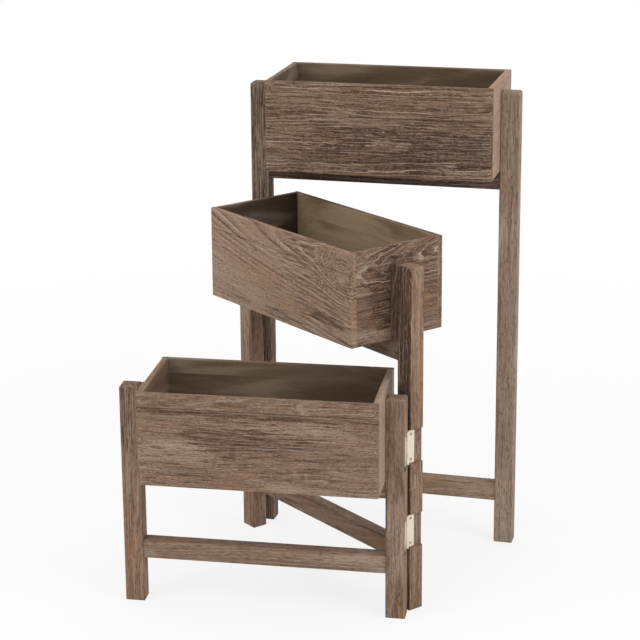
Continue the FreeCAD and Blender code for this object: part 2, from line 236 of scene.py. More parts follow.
# each noise of a plank: lumps per metre along, across and through it, then detail, roughness,
# distortion and place
grainNoise = {
    "sway": ((3.2, 13, 13), 2.0, 0.55, 0.0, (0, 0, 0)),
    "shiver": ((26, 70, 70), 2.0, 0.55, 0.0, (7, 3, 1)),
    "swirl": ((34, 40, 40), 2.0, 0.55, 0.0, (3, 8, 5)),
    "faint": ((14, 70, 70), 2.0, 0.55, 0.0, (5, 5, 2)),
    "coarse": ((12, 290, 290), 3.0, 0.65, 0.25, (2, 5, 9)),
    "fine": ((26, 720, 720), 2.0, 0.6, 0.15, (6, 1, 3)),
    "combing": ((10, 470, 470), 2.0, 0.55, 0.1, (1, 7, 8)),
    "pores": ((190, 460, 460), 2.0, 0.6, 0.1, (4, 1, 6)),
    "cloud": ((5, 22, 22), 3.0, 0.55, 0.5, (9, 2, 4)),
}
bendShares = {"sway": 5.0, "shiver": 0.9, "swirl": 5.0}
coarseShare = 0.62            # the rest of the fibres is fine

# parts of one year's growth, from 0 to 1: where each line sets in and dies away
yearParts = {
    "start": 0.07,
    "lateIn": (0.3, 0.8), "lateOut": (0.86, 0.96),
    "crestIn": (0.9, 0.99), "crestOut": (0.08, 0.26),
}


# growth rings, fibres and pores of one plank: X along its grain, Y across and Z through it
def makeGrainGroup():
    tree, given, out = newGroup("plankGrain", [
        ("Vector", vector3, None), ("Heart", vector3, None), ("Lean", vector3, None),
        ("Ring Width", number, 0.006), ("Wobble", number, 0.005), ("Curl", number, 0.0),
        ("Seed", vector3, None), ("Knot", vector3, None), ("Knot Reach", number, 0.05),
        ("Knot Pull", number, 0.0), ("Fibre Length", number, 1.0),
    ], [("Late Wood", number), ("Crest", number), ("Fibres", number), ("Combing", number),
        ("Pores", number), ("Cloud", number)])
    place = given["Vector"]
    spot = vectorSums(tree, "ADD", place, given["Seed"])
    along, across, through = addNode(tree, "ShaderNodeSeparateXYZ", None, {0: place}).outputs
    # the pith runs through the log, a little out of line with the plank
    scale = {"operation": "SCALE"}
    run = addNode(tree, "ShaderNodeVectorMath", scale, {0: given["Lean"], "Scale": along}).outputs[0]
    pith = vectorSums(tree, "ADD", given["Heart"], run)
    away = vectorSums(tree, "SUBTRACT", place, pith)
    radius = vectorSums(tree, "LENGTH", vectorSums(tree, "MULTIPLY", away, (0, 1, 1)))

    def drift(name, amount):
        size = sums(tree, "MULTIPLY", amount, bendShares[name])
        lumps = sums(tree, "SUBTRACT", noise(tree, spot, *grainNoise[name]), 0.5)
        return sums(tree, "MULTIPLY", lumps, size)

    bend = sums(tree, "ADD", drift("sway", given["Wobble"]), drift("shiver", given["Wobble"]))
    bend = sums(tree, "ADD", bend, drift("swirl", given["Curl"]))
    # rings crowd round a knot
    reach = sums(tree, "DIVIDE", vectorSums(tree, "DISTANCE", place, given["Knot"]), given["Knot Reach"])
    pull = sums(tree, "MULTIPLY", fade(tree, reach, 1.0, 0.0), given["Knot Pull"])
    bend = sums(tree, "SUBTRACT", bend, pull)
    turns = sums(tree, "DIVIDE", sums(tree, "ADD", radius, bend), given["Ring Width"])
    year = sums(tree, "FRACT", turns)
    # some years are faint, and a line comes and goes along the plank
    count = sums(tree, "FLOOR", sums(tree, "ADD", turns, yearParts["start"]))
    chance = addNode(tree, "ShaderNodeTexWhiteNoise", {"noise_dimensions": "1D"}, {"W": count})
    spell = fade(tree, noise(tree, spot, *grainNoise["faint"]), 0.36, 0.58, 0.25, 1.0)
    strength = sums(tree, "MULTIPLY", fade(tree, chance.outputs["Value"], 0.25, 0.85, 0.12, 1.0), spell)
    late = sums(tree, "MULTIPLY", fade(tree, year, *yearParts["lateIn"]),
                fade(tree, year, *yearParts["lateOut"], 1.0, 0.0))
    crest = sums(tree, "ADD", fade(tree, year, *yearParts["crestIn"]),
                 fade(tree, year, *yearParts["crestOut"], 1.0, 0.0), clamp=True)
    crest = sums(tree, "MULTIPLY", crest, sums(tree, "SUBTRACT", 1.0, late))
    tree.links.new(sums(tree, "MULTIPLY", late, strength), out["Late Wood"])
    tree.links.new(sums(tree, "MULTIPLY", crest, strength), out["Crest"])
    # the fibres follow the same bends as the rings
    carried = addNode(tree, "ShaderNodeCombineXYZ", None, {
        0: sums(tree, "DIVIDE", along, given["Fibre Length"]),
        1: sums(tree, "ADD", across, bend), 2: sums(tree, "ADD", through, bend),
    }).outputs[0]
    carried = vectorSums(tree, "ADD", carried, given["Seed"])
    coarse = sums(tree, "MULTIPLY", noise(tree, carried, *grainNoise["coarse"]), coarseShare)
    fine = sums(tree, "MULTIPLY", noise(tree, carried, *grainNoise["fine"]), 1 - coarseShare)
    tree.links.new(sums(tree, "ADD", coarse, fine), out["Fibres"])
    tree.links.new(noise(tree, carried, *grainNoise["combing"]), out["Combing"])
    tree.links.new(noise(tree, carried, *grainNoise["pores"]), out["Pores"])
    tree.links.new(noise(tree, spot, *grainNoise["cloud"]), out["Cloud"])
    return tree


# how much of its colour each effect lays over the wood, and how deep each one is
toneShares = {
    "warm": 0.45, "overBurntAndShade": 0.7, "lateWood": 0.85,
    "combing": 0.7, "pale": 0.85, "pore": 0.5, "flake": 0.32,
    "innerFibres": 0.22, "innerRings": 0.22, "innerPale": 0.3, "innerDark": 0.45,
}
toneDepths = {"pale": 0.55, "dark": 0.6, "pore": 0.4, "inside": 0.25}
toneRoughness = (0.7, 0.92)   # of bare and of burnt wood
burnStart = (0.6, 0.16)       # fibres over the first burn; full scorching takes the second off it


# colour, roughness and height of scorched and brushed wood
def makeToneGroup():
    tree, given, out = newGroup("scorchedTone", [
        ("Late Wood", number, 0.0), ("Crest", number, 0.0), ("Fibres", number, 0.5),
        ("Combing", number, 0.5), ("Pores", number, 0.5), ("Cloud", number, 0.5),
        ("Scorch And Shade", number, 0.5), ("Ridges", number, 0.6), ("Ash", number, 0.3),
        ("Rubbed", number, 0.0), ("Inside", number, 0.0),
        ("Body", colour4, (0.2, 0.14, 0.1, 1)), ("Char", colour4, (0.07, 0.045, 0.03, 1)),
        ("Bleach", colour4, (0.38, 0.28, 0.2, 1)), ("Raw", colour4, (0.4, 0.22, 0.11, 1)),
        ("Lining", colour4, (0.2, 0.15, 0.09, 1)),
    ], [("Colour", colour4), ("Roughness", number), ("Height", number)])
    fibres, cloud, scorchAndShade = given["Fibres"], given["Cloud"], given["Scorch And Shade"]

    def share(name, value):
        return sums(tree, "MULTIPLY", value, toneShares[name])

    # greyer and warmer areas of the board
    grey = sums(tree, "MULTIPLY", fade(tree, cloud, 0.54, 0.34), given["Ash"])
    tone = blendColours(tree, grey, given["Body"], given["Bleach"])
    tone = blendColours(tree, share("warm", fade(tree, cloud, 0.54, 0.72)), tone, given["Raw"])
    # the flame darkens the soft wood between the fibres; where a board's scorch patches stand in for shade,
    # this same darkening is painted shade
    start = sums(tree, "SUBTRACT", burnStart[0], sums(tree, "MULTIPLY", scorchAndShade, burnStart[1]))
    burntAndShade = fade(tree, sums(tree, "SUBTRACT", fibres, start), -0.03, 0.1)
    burntAndShade = sums(tree, "MULTIPLY", burntAndShade, fade(tree, scorchAndShade, 0.0, 1.0, 0.55, 0.9))
    valley = sums(tree, "MULTIPLY", given["Late Wood"], given["Ridges"])
    dark = sums(tree, "MAXIMUM", burntAndShade, share("lateWood", valley))
    tone = blendColours(tree, share("overBurntAndShade", fade(tree, scorchAndShade, 0.7, 1.5)), tone, given["Char"])
    tone = blendColours(tree, dark, tone, given["Char"])
    # the brush leaves pale crests
    combed = share("combing", fade(tree, given["Combing"], 0.42, 0.33))
    pale = sums(tree, "MAXIMUM", combed, sums(tree, "MULTIPLY", given["Crest"], given["Ridges"]))
    tone = blendColours(tree, share("pale", pale), tone, given["Bleach"])
    pore = fade(tree, given["Pores"], 0.54, 0.66)
    tone = blendColours(tree, share("pore", pore), tone, given["Char"])
    tone = blendColours(tree, share("flake", fade(tree, given["Pores"], 0.44, 0.33)), tone, given["Bleach"])
    # smoother wood inside a box; on some boards the lining colour is darkened as painted shade of the box's
    # inside
    quiet = given["Lining"]
    for effect, mask, colour in (
        ("innerFibres", fade(tree, fibres, 0.42, 0.64), "Char"),
        ("innerRings", given["Late Wood"], "Char"),
        ("innerPale", fade(tree, cloud, 0.52, 0.34), "Bleach"),
        ("innerDark", fade(tree, cloud, 0.5, 0.68), "Char"),
    ):
        quiet = blendColours(tree, share(effect, mask), quiet, given[colour])
    tone = blendColours(tree, given["Inside"], tone, quiet)
    worn = fade(tree, fibres, 0.4, 0.62, 1.0, 0.45)
    rubbed = sums(tree, "MULTIPLY", given["Rubbed"], worn, clamp=True)
    tone = blendColours(tree, rubbed, tone, given["Raw"])
    tree.links.new(tone, out["Colour"])
    tree.links.new(fade(tree, dark, 0.0, 1.0, *toneRoughness), out["Roughness"])
    deep = sums(tree, "MULTIPLY", pale, toneDepths["pale"])
    deep = sums(tree, "SUBTRACT", deep, sums(tree, "MULTIPLY", dark, toneDepths["dark"]))
    deep = sums(tree, "SUBTRACT", deep, sums(tree, "MULTIPLY", pore, toneDepths["pore"]))
    calm = fade(tree, given["Inside"], 0.0, 1.0, 1.0, toneDepths["inside"])
    tree.links.new(sums(tree, "MULTIPLY", deep, calm), out["Height"])
    return tree


# rubbed edges: where a rounded copy of the surface turns away from the real one
def makeEdgeGroup():
    tree, given, out = newGroup("edgeWear", [
        ("Vector", vector3, None), ("Width", number, 0.0016), ("Amount", number, 0.5),
        ("Patch Size", number, 40.0),
    ], [("Wear", number), ("Normal", vector3)])
    soft = addNode(tree, "ShaderNodeBevel", {"samples": 6}, {"Radius": given["Width"]}).outputs[0]
    true = addNode(tree, "ShaderNodeNewGeometry").outputs["True Normal"]
    edge = fade(tree, vectorSums(tree, "DOT_PRODUCT", soft, true), 0.99, 0.86)
    patches = addNode(tree, "ShaderNodeTexNoise", None,
                      {"Vector": given["Vector"], "Scale": given["Patch Size"], "Detail": 3.0}).outputs[0]
    level = sums(tree, "SUBTRACT", 0.75, sums(tree, "MULTIPLY", given["Amount"], 0.4))
    broken = fade(tree, sums(tree, "SUBTRACT", patches, level), -0.06, 0.08)
    tree.links.new(sums(tree, "MULTIPLY", edge, broken), out["Wear"])
    tree.links.new(soft, out["Normal"])
    return tree


# a soft-edged patch round one spot of a plank, used for stains, rubbed spots and painted shade
def makeSoftPatchGroup():
    tree, given, out = newGroup("softPatch", [
        ("Vector", vector3, None), ("Spot", vector3, None), ("Size", vector3, (0.05, 0.05, 0.05)),
        ("Share", number, 1.0),
    ], [("Mask", number)])
    off = vectorSums(tree, "SUBTRACT", given["Vector"], given["Spot"])
    far = vectorSums(tree, "LENGTH", vectorSums(tree, "DIVIDE", off, given["Size"]))
    ragged = sums(tree, "SUBTRACT", noise(tree, given["Vector"], (18, 90, 90), 3.0, 0.6), 0.5)
    reach = sums(tree, "ADD", far, sums(tree, "MULTIPLY", ragged, 1.4))
    tree.links.new(sums(tree, "MULTIPLY", fade(tree, reach, 1.15, 0.65), given["Share"]), out["Mask"])
    return tree


grainGroup = makeGrainGroup()
toneGroup = makeToneGroup()
edgeGroup = makeEdgeGroup()
softPatchGroup = makeSoftPatchGroup()


# how each frame stands, read from the frame's own pieces
def turnOf(tier):
    ends = []
    for side in ("left_post", "right_post"):
        low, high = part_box(tier + "_" + side)
        ends.append([(near + far) / 2 for near, far in zip(low, high)])
    return math.atan2(ends[1][1] - ends[0][1], ends[1][0] - ends[0][0])


tierTurn = {tier: turnOf(tier) for tier in ("low", "middle", "tall")}


# finish shared by all the wood
woodFinish = {
    "body": linear(132, 106, 87),
    "char": linear(72, 51, 41),
    "bleach": linear(176, 155, 136),
    "raw": linear(162, 119, 88),
    "lining": linear(128, 107, 87),
    "ringWidth": 0.006,
    "fibreLength": 1.0,
    "wobble": 0.005,
    "curl": 0.0,
    "knot": ((0, 0, 0), 0.05, 0.0),          # spot, reach and pull
    "upper": {"heart": (0, 0.06, 0.07), "lean": (0, 0.05, -0.06), "curl": 0.0},   # plank over a glue joint
    "wholeBoard": False,
    "scorchAndShade": 0.5,
    "ridges": 0.5,
    "ash": 0.45,
    "edgeWidth": 0.001,
    "edgeAmount": 0.45,
    "reliefDepth": 0.0007,
    "patchMarks": (),
}

# where a plank's grain runs, by the end of its name
grainRun = {
    "left_post": "up", "right_post": "up", "spacer": "up",
    "stretcher": "along", "rail": "along",
    "box_front": "along", "box_back": "along", "box_bottom": "along",
    "box_left_end": "across", "box_right_end": "across",
}

# height of the glue joint over the middle of a board of two planks
glueJoint = {
    "low": {"box_front": 0.0555, "box_back": 0.0555, "box_left_end": 0.0375, "box_right_end": 0.0375},
    "middle": {"box_front": 0.0435, "box_back": 0.0435, "box_left_end": 0.0015, "box_right_end": 0.0015},
    "tall": {"box_front": 0.0215, "box_back": 0.0215, "box_left_end": 0.0295, "box_right_end": 0.0295},
}

# the boards and posts that the eye goes to, each with its own cut from the log;
# a patch mark is (kind, spot, size, share) with X along the grain, Y across it and Z through it; some scorch
# patches are painted shade
plankLooks = {
    "low_box_front": {
        "heart": (0, -0.14, -0.06), "lean": (0, 0.03, 0.03), "scorchAndShade": 0.55, "ridges": 0.45, "wobble": 0.004,
        "ringWidth": 0.0048,
        "patchMarks": (("scorchAndShade", (-0.02, 0.005, 0.005), (0.12, 0.028, 0.05), 0.35),
                   # painted shade: this thin dark band just under the glue joint stands in for the shadow of
                   # the step between the two planks
                   ("scorchAndShade", (0.0, 0.05, 0.005), (0.6, 0.005, 0.05), 0.45),
                   ("rubbed", (-0.02, -0.081, 0.005), (0.07, 0.006, 0.05), 0.7),
                   ("rubbed", (0.16, 0.012, 0.005), (0.025, 0.003, 0.05), 0.5)),
    },
    "middle_box_front": {
        "body": linear(150, 122, 100), "bleach": linear(184, 160, 140), "ash": 0.3,
        "heart": (0, 0.074, -0.02), "lean": (0, -0.15, 0.13), "scorchAndShade": 0.22, "ridges": 0.9, "wobble": 0.002,
        "ringWidth": 0.0088, "wholeBoard": True, "seed": (4.1, 2.2, 0.6),
        "knot": ((0.178, 0.058, 0.005), 0.085, 0.035),
        "patchMarks": (("scorchAndShade", (-0.05, -0.07, 0.005), (0.16, 0.01, 0.05), 0.4),
                   ("scorchAndShade", (0.14, -0.05, 0.005), (0.05, 0.015, 0.05), 0.4),
                   ("scorchAndShade", (0.12, 0.02, 0.005), (0.13, 0.09, 0.05), 0.45),
                   ("plain", (-0.08, -0.05, 0.005), (0.17, 0.05, 0.05), 0.75),
                   ("rubbed", (0.2035, -0.025, 0.0055), (0.003, 0.035, 0.003), 0.6)),
    },
    "middle_box_right_end": {
        "body": linear(119, 91, 72), "char": linear(64, 44, 35),
        "heart": (0, -0.03, -0.12), "lean": (0, 0.0, 0.03), "scorchAndShade": 0.5, "ridges": 1.0, "wobble": 0.002,
        "ringWidth": 0.0062,
        "upper": {"heart": (0, 0.05, -0.02), "lean": (0, 0.1, 0.15), "curl": 0.0017},
        # partly scorching and partly painted shade: the first dark patch sits next to the post and stands in
        # for the shade in the corner between post and box end
        "patchMarks": (("scorchAndShade", (-0.025, 0.02, 0.005), (0.04, 0.09, 0.05), 0.5),
                   ("rubbed", (0.085, -0.022, 0.005), (0.03, 0.004, 0.05), 0.6),
                   ("rubbed", (0.08, -0.046, 0.005), (0.03, 0.003, 0.05), 0.5)),
    },
    "tall_box_front": {
        "body": linear(126, 102, 83), "char": linear(62, 41, 33), "curl": 0.0009,
        "heart": (0, -0.15, -0.05), "lean": (0, 0.02, 0.03), "scorchAndShade": 0.72, "ridges": 1.0, "wobble": 0.0042,
        "ringWidth": 0.0056, "upper": {"heart": (0, -0.1, 0.12), "lean": (0, 0.04, 0.03)},
        "patchMarks": (("scorchAndShade", (0.1, -0.03, 0.005), (0.2, 0.05, 0.05), 0.3),
                   ("rubbed", (-0.02, -0.083, 0.005), (0.14, 0.004, 0.05), 0.45)),
    },
    # painted light: both right ends are made paler and less scorched because light falls on them from the
    # right
    "low_box_right_end": {"body": linear(160, 137, 116), "scorchAndShade": 0.15, "ridges": 0.3},
    "tall_box_right_end": {"body": linear(168, 140, 122), "scorchAndShade": 0.15, "ridges": 0.3},
    # painted shade: the dark lining of this end stands in for the shade deep inside the box
    "middle_box_left_end": {"body": linear(118, 95, 78), "lining": linear(68, 56, 45), "edgeAmount": 0.2},
    "middle_box_back": {"body": linear(112, 92, 74), "lining": linear(164, 142, 113), "edgeAmount": 0.1},
    # painted shade: the darker linings of these boards stand in for the shade inside the low and tall boxes
    "low_box_back": {"lining": linear(112, 94, 75)},
    "tall_box_back": {"lining": linear(100, 82, 64)},
    "tall_box_left_end": {"lining": linear(100, 83, 68)},
    # painted shade: this post is given a darker body, darker char and more scorch for the shade it stands in
    "tall_left_post": {"body": linear(118, 96, 80), "char": linear(62, 45, 37), "scorchAndShade": 0.8},
    "tall_right_post": {"body": linear(150, 129, 111), "scorchAndShade": 0.42, "ash": 0.8, "patchMarks": (
        ("rubbed", (0.0, -0.0165, -0.0145), (1.0, 0.0025, 0.0025), 0.5),)},
    "tall_rail": {"scorchAndShade": 1.15},
    "tall_stretcher": {"body": linear(158, 128, 101), "scorchAndShade": 0.3, "ash": 0.6},
    # partly scorching and partly painted shade: the spacer is darkened for the shade between the box end and
    # the post
    "middle_spacer": {"scorchAndShade": 1.1},
    "middle_right_post": {
        "body": linear(127, 98, 76), "ash": 0.25, "scorchAndShade": 0.4,
        # partly scorching and partly painted shade: the first patch darkens the post's front-left face for
        # the shade from the box beside it
        "patchMarks": (("scorchAndShade", (0.1, 0.0, -0.0155), (0.55, 0.06, 0.003), 0.9),
                   ("rubbed", (0.2, 0.017, 0.004), (0.12, 0.005, 0.002), 0.6)),
    },
    "middle_stretcher": {"scorchAndShade": 0.4, "patchMarks": (("rubbed", (0.05, 0.0, 0.012), (0.2, 0.01, 0.01), 0.4),)},
    "low_left_post": {"body": linear(141, 110, 88), "scorchAndShade": 0.5, "patchMarks": (
        ("scorchAndShade", (0.15, 0.0, 0.0), (0.07, 0.05, 0.05), 0.3),)},
    "low_right_post": {"body": linear(126, 102, 83), "scorchAndShade": 0.5, "ash": 0.6, "patchMarks": (
        ("rubbed", (0.0, 0.0165, -0.0145), (1.0, 0.0028, 0.0028), 0.7),)},
    "low_stretcher": {"body": linear(138, 111, 91), "scorchAndShade": 0.25, "ash": 0.6, "patchMarks": (
        ("scorchAndShade", (0.1, -0.004, 0.012), (0.09, 0.03, 0.03), 0.3),
        ("rubbed", (-0.06, 0.0165, 0.012), (0.16, 0.0025, 0.004), 0.5))},
}

# which side of a board is its inner face, through its thickness, and where the lining begins
innerSide = {"box_front": -1.0, "box_back": 1.0, "box_left_end": 1.0, "box_right_end": -1.0}
liningEdge = (0.003, 0.0045)

upperSeed = 3.7               # moves the noise of the plank over a glue joint
bumpStrength = 0.9
woodShine = 0.25

# frame pieces are cut from straighter wood than the boxes
straightWood = {"fibreLength": 2.2, "wobble": 0.0035}

# cuts of the pieces that have none of their own: size and step of each wave
cutWaves = {"across": (0.03, 2.4), "deep": (0.04, 1.7), "leanAcross": (0.05, 5.1), "leanDeep": (0.08, 3.3)}
cutLeastDepth = 0.02
cutSeeds = (1.31, 0.77, 2.13)


def plankTurn(tier, run):
    # turns the stand's own axes so that X runs along the grain, Y across and Z through the plank
    level = Matrix.Rotation(-tierTurn[tier], 3, "Z")
    if run == "up":
        return Matrix(((0, 0, 1), (1, 0, 0), (0, 1, 0))) @ level
    if run == "across":
        return Matrix(((0, 1, 0), (0, 0, 1), (1, 0, 0))) @ level
    return Matrix(((1, 0, 0), (0, 0, 1), (0, -1, 0))) @ level


def middleOf(name):
    low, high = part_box(name)
    return Vector([(near + far) / 2 for near, far in zip(low, high)])


def pickVector(tree, factor, first, second):
    node = addNode(tree, "ShaderNodeMix", {"data_type": "VECTOR"}, {0: factor})
    node.inputs[4].default_value = first
    node.inputs[5].default_value = second
    return node.outputs[1]


def patchMarkSum(tree, plank, patchMarks, kind, start):
    total = start
    for which, spot, size, share in patchMarks:
        if which == kind:
            mask = addNode(tree, "ShaderNodeGroup", {"node_tree": softPatchGroup}, {
                "Vector": plank, "Spot": spot, "Size": size, "Share": share}).outputs["Mask"]
            total = sums(tree, "ADD", mask, total)
    return total


def grainInputs(tree, plank, across, tier, kind, look):
    cut = {"Heart": look["heart"], "Lean": look["lean"], "Curl": look["curl"], "Seed": look["seed"]}
    if kind in glueJoint[tier] and not look["wholeBoard"]:
        # the plank over the glue joint comes from another part of the log
        upper = dict(woodFinish["upper"], **look["upper"])
        over = sums(tree, "GREATER_THAN", across, glueJoint[tier][kind])
        cut["Heart"] = pickVector(tree, over, look["heart"], upper["heart"])
        cut["Lean"] = pickVector(tree, over, look["lean"], upper["lean"])
        cut["Seed"] = pickVector(tree, over, look["seed"], [value + upperSeed for value in look["seed"]])
        cut["Curl"] = fade(tree, over, 0, 1, look["curl"], upper["curl"])
    knot, knotReach, knotPull = look["knot"]
    cut.update({
        "Vector": plank, "Wobble": look["wobble"], "Ring Width": look["ringWidth"],
        "Fibre Length": look["fibreLength"], "Knot": knot, "Knot Reach": knotReach, "Knot Pull": knotPull,
    })
    return cut


def woodMaterial(name, tier, kind, look):
    material = bpy.data.materials.new(name)
    material.use_nodes = True
    tree = material.node_tree
    surface = tree.nodes["Principled BSDF"]
    turn = plankTurn(tier, grainRun[kind])
    place = addNode(tree, "ShaderNodeTexCoord").outputs["Object"]
    plank = addNode(tree, "ShaderNodeMapping", None, {
        "Vector": place, "Location": -(turn @ middleOf(name)), "Rotation": turn.to_euler("XYZ"),
    }).outputs[0]
    across, through = addNode(tree, "ShaderNodeSeparateXYZ", None, {0: plank}).outputs[1:]
    cut = grainInputs(tree, plank, across, tier, kind, look)
    grain = addNode(tree, "ShaderNodeGroup", {"node_tree": grainGroup}, cut).outputs
    wear = addNode(tree, "ShaderNodeGroup", {"node_tree": edgeGroup}, {
        "Vector": place, "Width": look["edgeWidth"], "Amount": look["edgeAmount"],
    }).outputs
    plain = patchMarkSum(tree, plank, look["patchMarks"], "plain", 0.0)
    inputs = {
        "Scorch And Shade": patchMarkSum(tree, plank, look["patchMarks"], "scorchAndShade", look["scorchAndShade"]),
        "Rubbed": patchMarkSum(tree, plank, look["patchMarks"], "rubbed", wear["Wear"]),
        "Ridges": sums(tree, "SUBTRACT", look["ridges"], plain),
    }
    for label in ("Late Wood", "Crest", "Fibres", "Combing", "Pores", "Cloud"):
        inputs[label] = grain[label]
    for label in ("ash", "body", "char", "bleach", "raw", "lining"):
        inputs[label.capitalize()] = look[label]
    if kind in innerSide:
        facing = sums(tree, "MULTIPLY", through, innerSide[kind])
        inputs["Inside"] = fade(tree, facing, *liningEdge)
    tone = addNode(tree, "ShaderNodeGroup", {"node_tree": toneGroup}, inputs).outputs
    relief = addNode(tree, "ShaderNodeBump", None, {
        "Strength": bumpStrength, "Distance": look["reliefDepth"], "Height": tone["Height"],
        "Normal": wear["Normal"],
    })
    tree.links.new(tone["Colour"], surface.inputs["Base Color"])
    tree.links.new(tone["Roughness"], surface.inputs["Roughness"])
    tree.links.new(relief.outputs[0], surface.inputs["Normal"])
    surface.inputs["Specular IOR Level"].default_value = woodShine
    return material


def cutOf(count):
    def wave(name, turn):
        size, step = cutWaves[name]
        return size * turn(count * step)

    deepSize, deepStep = cutWaves["deep"]
    deep = cutLeastDepth + deepSize * math.cos(count * deepStep) ** 2
    return {
        "heart": (0, wave("across", math.sin), deep),
        "lean": (0, wave("leanAcross", math.sin), wave("leanDeep", math.cos)),
        "seed": [count * step for step in cutSeeds],
    }


def dressWood():
    count = 0
    for name, node in sorted(nodes.items()):
        tier, kind = name.split("_", 1)
        if kind not in grainRun:
            continue
        count += 1
        look = dict(woodFinish, **cutOf(count))
        if not kind.startswith("box_"):
            look.update(straightWood)
        look.update(plankLooks.get(name, {}))
        node.data.materials.clear()
        node.data.materials.append(woodMaterial(name, tier, kind, look))
    print("wood dressed:", count, "pieces")


dressWood()


# plating: blotches and rolling marks in lumps per metre, and how much each one dulls or lowers it
platingWear = {
    "blotches": (260, 260, 260), "marks": (1500, 1500, 90),
    "blotchDull": 0.7, "edgeDullAndShade": 0.8, "markDull": 0.18, "markHeight": 0.4, "dullRoughness": 0.25,
    "bump": 0.5, "bumpDepth": 0.00005, "edgeAmount": 0.9, "edgePatches": 300.0,
}


# handled metal: plating that dulls in spots and along its edges, the edge dulling partly wear and partly
# painted shade, with fine rolling marks
def makeMetalGroup():
    tree, given, out = newGroup("dulledPlating", [
        ("Vector", vector3, None), ("Plating", colour4, (0.7, 0.66, 0.6, 1)),
        ("Dull", colour4, (0.3, 0.27, 0.22, 1)), ("Rubbed", number, 0.0), ("Spots", number, 0.4),
        ("Roughness", number, 0.4),
    ], [("Colour", colour4), ("Roughness", number), ("Height", number)])

    def share(name, value):
        return sums(tree, "MULTIPLY", value, platingWear[name])

    spots = noise(tree, given["Vector"], platingWear["blotches"], 4.0, 0.65)
    marks = noise(tree, given["Vector"], platingWear["marks"], 2.0, 0.5)
    level = sums(tree, "SUBTRACT", 0.78, sums(tree, "MULTIPLY", given["Spots"], 0.3))
    dull = share("blotchDull", fade(tree, sums(tree, "SUBTRACT", spots, level), -0.05, 0.12))
    # partly wear and partly painted shade: the darker rim stands in for the shade in the hinge gain
    dull = sums(tree, "MAXIMUM", dull, share("edgeDullAndShade", given["Rubbed"]))
    tone = blendColours(tree, dull, given["Plating"], given["Dull"])
    tone = blendColours(tree, share("markDull", fade(tree, marks, 0.4, 0.7)), tone, given["Dull"])
    tree.links.new(tone, out["Colour"])
    tree.links.new(sums(tree, "ADD", given["Roughness"], share("dullRoughness", dull)), out["Roughness"])
    tree.links.new(sums(tree, "SUBTRACT", share("markHeight", marks), dull), out["Height"])
    return tree


metalGroup = makeMetalGroup()

metalFinish = {
    "hingePlate": {"plating": linear(233, 221, 205), "dull": linear(120, 102, 84),
                   "roughness": 0.42, "spots": 0.5, "metallic": 0.55, "edge": 0.0004},
    "hingeScrew": {"plating": linear(178, 166, 150), "dull": linear(70, 60, 52),
                   "roughness": 0.38, "spots": 0.7, "metallic": 0.85, "edge": 0.0003},
    "boxScrew": {"plating": linear(190, 182, 168), "dull": linear(95, 84, 72),
                 "roughness": 0.35, "spots": 0.5, "metallic": 0.9, "edge": 0.0003},
    "brad": {"plating": linear(222, 212, 196), "dull": linear(110, 96, 82),
             "roughness": 0.35, "spots": 0.4, "metallic": 0.8, "edge": 0.0002},
}


def metalMaterial(name, look):
    material = bpy.data.materials.new(name)
    material.use_nodes = True
    tree = material.node_tree
    surface = tree.nodes["Principled BSDF"]
    place = addNode(tree, "ShaderNodeTexCoord").outputs["Object"]
    wear = addNode(tree, "ShaderNodeGroup", {"node_tree": edgeGroup}, {
        "Vector": place, "Width": look["edge"], "Amount": platingWear["edgeAmount"],
        "Patch Size": platingWear["edgePatches"],
    }).outputs
    tone = addNode(tree, "ShaderNodeGroup", {"node_tree": metalGroup}, {
        "Vector": place, "Plating": look["plating"], "Dull": look["dull"], "Rubbed": wear["Wear"],
        "Spots": look["spots"], "Roughness": look["roughness"],
    }).outputs
    relief = addNode(tree, "ShaderNodeBump", None, {
        "Strength": platingWear["bump"], "Distance": platingWear["bumpDepth"],
        "Height": tone["Height"], "Normal": wear["Normal"],
    })
    tree.links.new(tone["Colour"], surface.inputs["Base Color"])
    tree.links.new(tone["Roughness"], surface.inputs["Roughness"])
    tree.links.new(relief.outputs[0], surface.inputs["Normal"])
    surface.inputs["Metallic"].default_value = look["metallic"]
    return material


metals = {name: metalMaterial(name, look) for name, look in metalFinish.items()}


# turned meshes: steps of the spin, when points merge, and up to what angle an edge is smooth
turning = {"steps": 24, "mergeWithin": 1e-6, "smoothUpTo": 35}


# turned pieces are a half outline, spun round the upright line
def spinOutline(bm, outline):
    corners = [bm.verts.new((radius, 0, height)) for radius, height in outline]
    edges = [bm.edges.new(pair) for pair in zip(corners, corners[1:])]
    bmesh.ops.spin(bm, geom=corners + edges, cent=(0, 0, 0), axis=(0, 0, 1), angle=math.tau,
                   steps=turning["steps"], use_merge=True)
    bmesh.ops.remove_doubles(bm, verts=bm.verts, dist=turning["mergeWithin"])
    bmesh.ops.recalc_face_normals(bm, faces=bm.faces)


def sinkCross(bm, reach, width, depth, taper):
    # marks a cross on the crown of a screw head and pushes it in
    for normal in ((1, 0, 0), (0, 1, 0)):
        for side in (-0.5, 0.5):
            crown = [face for face in bm.faces if face.normal.z > 0.5]
            parts = set(crown)
            for face in crown:
                parts.update(face.edges)
                parts.update(face.verts)
            bmesh.ops.bisect_plane(bm, geom=sorted(parts, key=lambda part: part.index), dist=1e-7,
                                   plane_co=[side * width * value for value in normal], plane_no=normal)
    bm.normal_update()
    cross = []
    for face in bm.faces:
        place = face.calc_center_median()
        if face.normal.z > 0.5 and place.xy.length < reach and min(abs(place.x), abs(place.y)) < width / 2:
            cross.append(face)
    pushed = bmesh.ops.extrude_face_region(bm, geom=cross)["geom"]
    sunk = [part for part in pushed if isinstance(part, bmesh.types.BMVert)]
    bmesh.ops.translate(bm, verts=sunk, vec=(0, 0, -depth))
    bmesh.ops.scale(bm, verts=sunk, vec=(taper, taper, 1))


